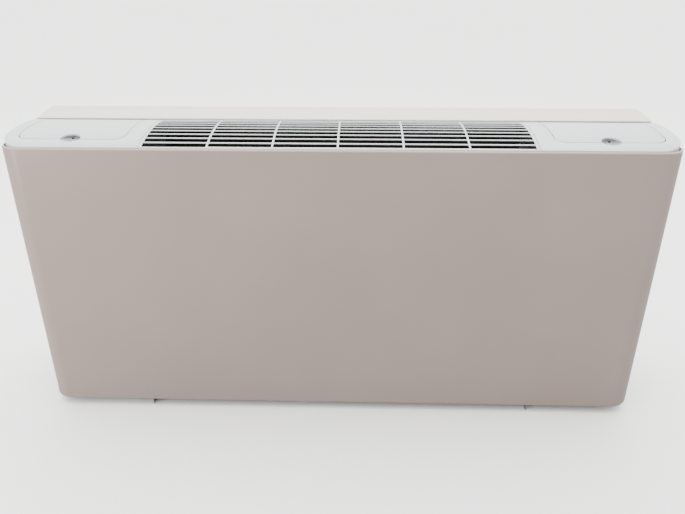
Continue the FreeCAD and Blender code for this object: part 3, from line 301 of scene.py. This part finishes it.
# ---------------------------------------------------------------- controls
# Grey fascia over the galvanised control box, with two black knobs and a white rocker in a black bezel.
# Terminal block and capacitor are white mouldings; a rubber gland closes the cable hole.

grey_plastic = finish("fascia_grey", (0.20, 0.205, 0.21), (0.26, 0.265, 0.27),
                      patch=70.0, grain=2600.0, depth=0.03 * MM, rough=(0.45, 0.6))
white_plastic = finish("white_moulding", (0.62, 0.61, 0.58), (0.72, 0.71, 0.68),
                       patch=70.0, grain=2200.0, depth=0.02 * MM, rough=(0.25, 0.42))
rubber = finish("gland_rubber", (0.015, 0.015, 0.015), (0.035, 0.035, 0.035),
                patch=120.0, grain=1500.0, depth=0.05 * MM, rough=(0.65, 0.85))
control_edge = 0.4 * MM
dress(black_plastic, "speed_knob", "thermostat_knob")
dress(white_plastic, "terminal_block", "run_capacitor")
dress(rubber, "cable_gland")
soften(black_plastic, control_edge, "switch_housing")
soften(grey_plastic, control_edge, "control_fascia")
soften(white_plastic, control_edge, "season_rocker")

print_ink = finish("print_ink", (0.60, 0.60, 0.59), (0.68, 0.68, 0.67),
                   patch=200.0, grain=900.0, depth=0.01 * MM, rough=(0.5, 0.7))
fascia_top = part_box("control_fascia")[1][2]
tick_height, tick_wide, tick_gap = 0.15 * MM, 0.9 * MM, 2 * MM
tick_long, end_tick_extra = 2.8 * MM, 1.2 * MM
first_tick = -90.0
bm = bmesh.new()
for knob, marks, sweep in (("speed_knob", 4, 135.0), ("thermostat_knob", 10, 270.0)):
    low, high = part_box(knob)
    middle = Vector(((low[0] + high[0]) / 2, (low[1] + high[1]) / 2, fascia_top))
    tick_start = (high[0] - low[0]) / 2 + tick_gap
    for number in range(marks):
        turn = math.radians(first_tick - sweep * number / (marks - 1))
        tick_end = tick_start + tick_long + (end_tick_extra if number in (0, marks - 1) else 0.0)
        along = Vector((math.cos(turn), math.sin(turn), 0))
        aside = Vector((-math.sin(turn), math.cos(turn), 0)) * tick_wide / 2
        ring = []
        for distance, side in ((tick_start, -1), (tick_start, 1), (tick_end, 1), (tick_end, -1)):
            spot = middle + along * distance + aside * side
            ring.append((bm.verts.new(spot), bm.verts.new(spot + Vector((0, 0, tick_height)))))
        bm.faces.new([pair[1] for pair in ring])
        bm.faces.new([pair[0] for pair in ring])
        for k in range(4):
            bm.faces.new((ring[k][0], ring[(k + 1) % 4][0], ring[(k + 1) % 4][1], ring[k][1]))
dial_marks = make_piece("dial_marks", bm, print_ink, "root")

# ---------------------------------------------------------------- painted casing
# One 1.2 mm steel sheet wrapped round two large corners, top edge rolled over inwards, lower edge
# and wall edges turned in, screwed to the chassis. Powder coated warm white, coloured darker grey as painted
# shade for the front facing away from the light: a faint orange peel, a little soiled near the floor.

corner_low, corner_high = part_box("front_casing")
casing_left, casing_front, casing_low = (round(value / MM, 2) for value in corner_low)
casing_right, casing_back, casing_rim = (round(value / MM, 2) for value in corner_high)
sheet, casing_corner = 1.2, 36.0
base_lip, base_fold = 13.2, 1.6
rim_roll, rim_fall, rim_lip = 3.0, 0.4, 4.0
rim_inside = rim_roll + 0.2
flange_wide, flange_top = 20.0, 461.0
soiled_below, soil_at_base = 75.0, 0.35


def arc(centre, radius, start, end, steps):
    """Points along an arc, angles in degrees."""
    return [(centre[0] + radius * math.cos(math.radians(start + (end - start) * k / steps)),
             centre[1] + radius * math.sin(math.radians(start + (end - start) * k / steps)))
            for k in range(steps + 1)]


def casing_path():
    """Plan outline from the left wall edge round the front to the right one, with inward directions."""
    path = [((casing_left, casing_back), (1, 0))]
    for middle_x, start in ((casing_left + casing_corner, 180), (casing_right - casing_corner, 270)):
        middle_y = casing_front + casing_corner
        for x, y in arc((middle_x, middle_y), casing_corner, start, start + 90, 16):
            path.append(((x, y), ((middle_x - x) / casing_corner, (middle_y - y) / casing_corner)))
    path.append(((casing_right, casing_back), (-1, 0)))
    return path


def casing_section():
    """Sheet section: inset from the outer face, and height."""
    outer = arc((base_fold, casing_low + base_fold), base_fold, 270, 180, 4)
    outer += arc((rim_roll, casing_rim - rim_roll), rim_roll, 180, 90, 6)
    inner = [(rim_inside, casing_rim - rim_fall), (rim_inside, casing_rim - rim_lip),
             (sheet, casing_rim - rim_lip - 1.0), (sheet, casing_low + 2 * sheet),
             (2 * sheet, casing_low + sheet), (base_lip, casing_low + sheet)]
    return [(base_lip, casing_low)] + outer + inner


def add_loft(bm, rings):
    """Closed rings of points joined in order, with both ends filled."""
    loops = [[bm.verts.new((x * MM, y * MM, z * MM)) for x, y, z in ring] for ring in rings]
    count = len(loops[0])
    for first, second in zip(loops, loops[1:]):
        for k in range(count):
            bm.faces.new((first[k], first[(k + 1) % count], second[(k + 1) % count], second[k]))
    bm.faces.new(loops[0][::-1])
    bm.faces.new(loops[-1])


def maths(tree, operation, *values):
    """Result of a Math node over sockets and plain numbers."""
    step = tree.nodes.new("ShaderNodeMath")
    step.operation = operation
    for slot, value in zip(step.inputs, values):
        if isinstance(value, float):
            slot.default_value = value
        else:
            tree.links.new(value, slot)
    return step.outputs["Value"]


def cover(tree, body, base, over, amount):
    """Lay a plain colour over the base colour, by a factor from 0 to 1."""
    mix = tree.nodes.new("ShaderNodeMix")
    mix.data_type = "RGBA"
    tree.links.new(amount, mix.inputs["Factor"])
    tree.links.new(base, mix.inputs["A"])
    mix.inputs["B"].default_value = (*over, 1.0)
    tree.links.new(mix.outputs["Result"], body.inputs["Base Color"])


def powder_coat(name, dark, light, soil):
    """Baked powder coat with orange peel; the lowest part is a little soiled."""
    material, tree, body, place = shader(name)
    body.inputs["Specular IOR Level"].default_value = 0.45
    coat = ramp(tree, noise(tree, place, 5.0, 6.0), [(0.3, dark), (0.7, light)])
    height = tree.nodes.new("ShaderNodeSeparateXYZ")
    tree.links.new(place, height.inputs["Vector"])
    fade = tree.nodes.new("ShaderNodeMapRange")
    fade.inputs["From Min"].default_value = casing_low * MM
    fade.inputs["From Max"].default_value = soiled_below * MM
    fade.inputs["To Min"].default_value = soil_at_base
    fade.inputs["To Max"].default_value = 0.0
    tree.links.new(height.outputs["Z"], fade.inputs["Value"])
    specks = maths(tree, "MULTIPLY", fade.outputs["Result"], noise(tree, place, 60.0, 6.0))
    cover(tree, body, coat, soil, specks)
    tree.links.new(spread(tree, noise(tree, place, 14.0, 4.0), 0.30, 0.40), body.inputs["Roughness"])
    raise_surface(tree, body, noise(tree, place, 420.0, 2.0), 0.06 * MM)
    return material


# The casing's darker colour is painted shade: the strip's warm white, darkened for the shaded front.
casing_coat_painted_shade = powder_coat("casing_powder_coat_painted_shade", dark=(0.352, 0.28, 0.254), light=(0.382, 0.307, 0.28),
                           soil=(0.29, 0.24, 0.20))
bm = bmesh.new()
add_loft(bm, [[(point[0] + inward[0] * inset, point[1] + inward[1] * inset, height)
               for inset, height in casing_section()] for point, inward in casing_path()])
for start, end in ((casing_left, casing_left + flange_wide), (casing_right - flange_wide, casing_right)):
    add_bar(bm, (start * MM, (casing_back - sheet) * MM, casing_low * MM),
            (end * MM, casing_back * MM, flange_top * MM))
make_piece("casing_shell", bm, casing_coat_painted_shade, "root", ["front_casing"])
dress(ground_steel, "casing_screws")

# ---------------------------------------------------------------- moulded top
# Injection-moulded ABS in light cool grey: two domed end pieces with a scooped finger dish and a
# screw down to the bracket below, and the slatted outlet insert between them. Fine satin texture from
# the mould; the walls of the outlet are coloured near-black below the dome's surface as painted shade.


def moulded_abs(name, dark, light):
    """Satin ABS with spark-eroded mould grain."""
    material, tree, body, place = shader(name)
    body.inputs["Specular IOR Level"].default_value = 0.4
    colour = ramp(tree, noise(tree, place, 9.0, 5.0), [(0.3, dark), (0.7, light)])
    tree.links.new(colour, body.inputs["Base Color"])
    tree.links.new(spread(tree, noise(tree, place, 30.0, 4.0), 0.42, 0.52), body.inputs["Roughness"])
    raise_surface(tree, body, noise(tree, place, 1800.0, 2.0), 0.02 * MM)
    return material


def paint_outlet_shade(material, shade_colour):
    """Near-black painted shade on the walls of the outlet, from a little below the dome's surface down."""
    tree = material.node_tree
    body = tree.nodes["Principled BSDF"]
    colour = body.inputs["Base Color"].links[0].from_socket
    place = tree.nodes.new("ShaderNodeTexCoord").outputs["Object"]
    from_axis = tree.nodes.new("ShaderNodeVectorMath")
    from_axis.operation = "MULTIPLY_ADD"
    from_axis.inputs[1].default_value = (0.0, 1.0, 1.0)
    from_axis.inputs[2].default_value = (0.0, -dome_axis_y * MM, -dome_axis_z * MM)
    tree.links.new(place, from_axis.inputs[0])
    distance = tree.nodes.new("ShaderNodeVectorMath")
    distance.operation = "LENGTH"
    tree.links.new(from_axis.outputs["Vector"], distance.inputs[0])
    below_dome = maths(tree, "LESS_THAN", distance.outputs["Value"], (dome_radius - shade_top) * MM)
    parts = tree.nodes.new("ShaderNodeSeparateXYZ")
    tree.links.new(place, parts.inputs["Vector"])
    from_middle = maths(tree, "ABSOLUTE", parts.outputs["X"])
    in_outlet = maths(tree, "LESS_THAN", from_middle, shaded_half * MM)
    cover(tree, body, colour, shade_colour, maths(tree, "MULTIPLY", below_dome, in_outlet))


dome_axis_y, dome_axis_z, dome_radius = -7.0, 199.0, 285.0
shade_top, shaded_half = 3.5, 296.4
abs_grey = moulded_abs("moulded_abs_grey", dark=(0.53, 0.55, 0.575), light=(0.555, 0.575, 0.60))
# Painted shade: the outlet walls below the dome's surface turn near-black.
paint_outlet_shade(abs_grey, (0.02, 0.017, 0.015))
soften(abs_grey, 0.6 * MM, "left_end_piece", "right_end_piece")
soften(abs_grey, 0.5 * MM, "outlet_grille")
dress(black_oxide, "end_piece_screws")

# ---------------------------------------------------------------- flip flaps
# Two domed ABS lids that swing up and back on steel pins, one over the valves and one over the
# controls. Moulded like the end pieces, each with a half-moon finger notch in its front edge.

soften(abs_grey, 0.5 * MM, "left_flap", "right_flap")
dress(ground_steel, "left_hinge_pin", "right_hinge_pin")

# ---------------------------------------------------------------- rear strip
# Folded 1.2 mm steel strip between the moulded top and the wall, with a front lip and a flange down
# at the back and at each end. Powder coated in the same warm white as the casing, whose darker tone is
# painted shade.

strip_paint = powder_coat("strip_powder_coat", dark=(0.66, 0.625, 0.565), light=(0.69, 0.655, 0.595),
                          soil=(0.50, 0.47, 0.43))
soften(strip_paint, 0.5 * MM, "rear_top_strip")

# ---------------------------------------------------------------- studio
# Plain floor card, a sky that grows from dark at the front to bright high behind the unit, a broad
# soft lamp above and behind it and a smaller one low at the front left. The card and the sky look
# paler to the camera than the light they give, so that the front isn't washed out from below.

floor_half = 40.0
card_lit, card_seen = (0.25, 0.243, 0.237), [(0.3, (0.93, 0.93, 0.925)), (0.7, (0.95, 0.95, 0.945))]
sky_brightest_towards = (0.0, 0.35, 0.94)
sky_darkest, sky_brightest, sky_seen = 0.05, 4.6, 2.9

floor_mesh = bpy.data.meshes.new("studio_floor")
floor_mesh.from_pydata([(x * floor_half, y * floor_half, 0) for x, y in ((-1, -1), (1, -1), (1, 1), (-1, 1))],
                       [], [(0, 1, 2, 3)])
studio_floor = bpy.data.objects.new("studio_floor", floor_mesh)
bpy.context.scene.collection.objects.link(studio_floor)
card, card_tree, card_body, card_place = shader("floor_card")
card_rays = card_tree.nodes.new("ShaderNodeLightPath")
paper = card_tree.nodes.new("ShaderNodeMix")
paper.data_type = "RGBA"
paper.inputs["A"].default_value = (*card_lit, 1.0)
card_tree.links.new(ramp(card_tree, noise(card_tree, card_place, 0.5), card_seen), paper.inputs["B"])
card_tree.links.new(card_rays.outputs["Is Camera Ray"], paper.inputs["Factor"])
card_tree.links.new(paper.outputs["Result"], card_body.inputs["Base Color"])
card_body.inputs["Roughness"].default_value = 0.9
floor_mesh.materials.append(card)

world = bpy.data.worlds.new("studio")
bpy.context.scene.world = world
world.use_nodes = True
sky_tree = world.node_tree
sky = sky_tree.nodes["Background"]
sky.inputs["Color"].default_value = (1.0, 0.995, 0.985, 1.0)
direction = sky_tree.nodes.new("ShaderNodeTexCoord")
overhead = sky_tree.nodes.new("ShaderNodeVectorMath")
overhead.operation = "DOT_PRODUCT"
overhead.inputs[1].default_value = sky_brightest_towards
sky_tree.links.new(direction.outputs["Generated"], overhead.inputs[0])
glow = sky_tree.nodes.new("ShaderNodeMapRange")
glow.inputs["From Min"].default_value = -0.2
glow.inputs["From Max"].default_value = 0.9
glow.inputs["To Min"].default_value = sky_darkest
glow.inputs["To Max"].default_value = sky_brightest
sky_tree.links.new(overhead.outputs["Value"], glow.inputs["Value"])
backdrop = sky_tree.nodes.new("ShaderNodeMix")
backdrop.inputs["B"].default_value = sky_seen
sky_rays = sky_tree.nodes.new("ShaderNodeLightPath")
sky_tree.links.new(sky_rays.outputs["Is Camera Ray"], backdrop.inputs["Factor"])
sky_tree.links.new(glow.outputs["Result"], backdrop.inputs["A"])
sky_tree.links.new(backdrop.outputs["Result"], sky.inputs["Strength"])


def soft_lamp(name, place, target, size, power, colour):
    """Square soft box aimed at a point."""
    lamp = bpy.data.lights.new(name, "AREA")
    lamp.shape = "SQUARE"
    lamp.size = size
    lamp.energy = power
    lamp.color = colour
    holder = bpy.data.objects.new(name, lamp)
    holder.location = place
    holder.rotation_euler = (Vector(target) - Vector(place)).to_track_quat("-Z", "Y").to_euler()
    bpy.context.scene.collection.objects.link(holder)


soft_lamp("top_lamp", place=(0.1, 0.9, 2.6), target=(0.0, 0.0, 0.4), size=2.4, power=45.0,
          colour=(1.0, 0.99, 0.97))
soft_lamp("front_lamp", place=(-1.9, -1.5, 0.6), target=(-0.45, -0.1, 0.2), size=0.9, power=36.0,
          colour=(1.0, 0.96, 0.92))

camera_data = bpy.data.cameras.new("camera")
camera_data.sensor_width = 36.0
camera_data.lens = 32.80
camera = bpy.data.objects.new("camera", camera_data)
camera.location = (0.03142, -0.98705, 0.71295)
pitch, turn = math.radians(25.087), math.radians(-1.561)
look = Vector((math.sin(turn) * math.cos(pitch), math.cos(turn) * math.cos(pitch), -math.sin(pitch)))
camera.rotation_mode = "QUATERNION"
camera.rotation_quaternion = look.to_track_quat("-Z", "Y")
bpy.context.scene.collection.objects.link(camera)
bpy.context.scene.camera = camera
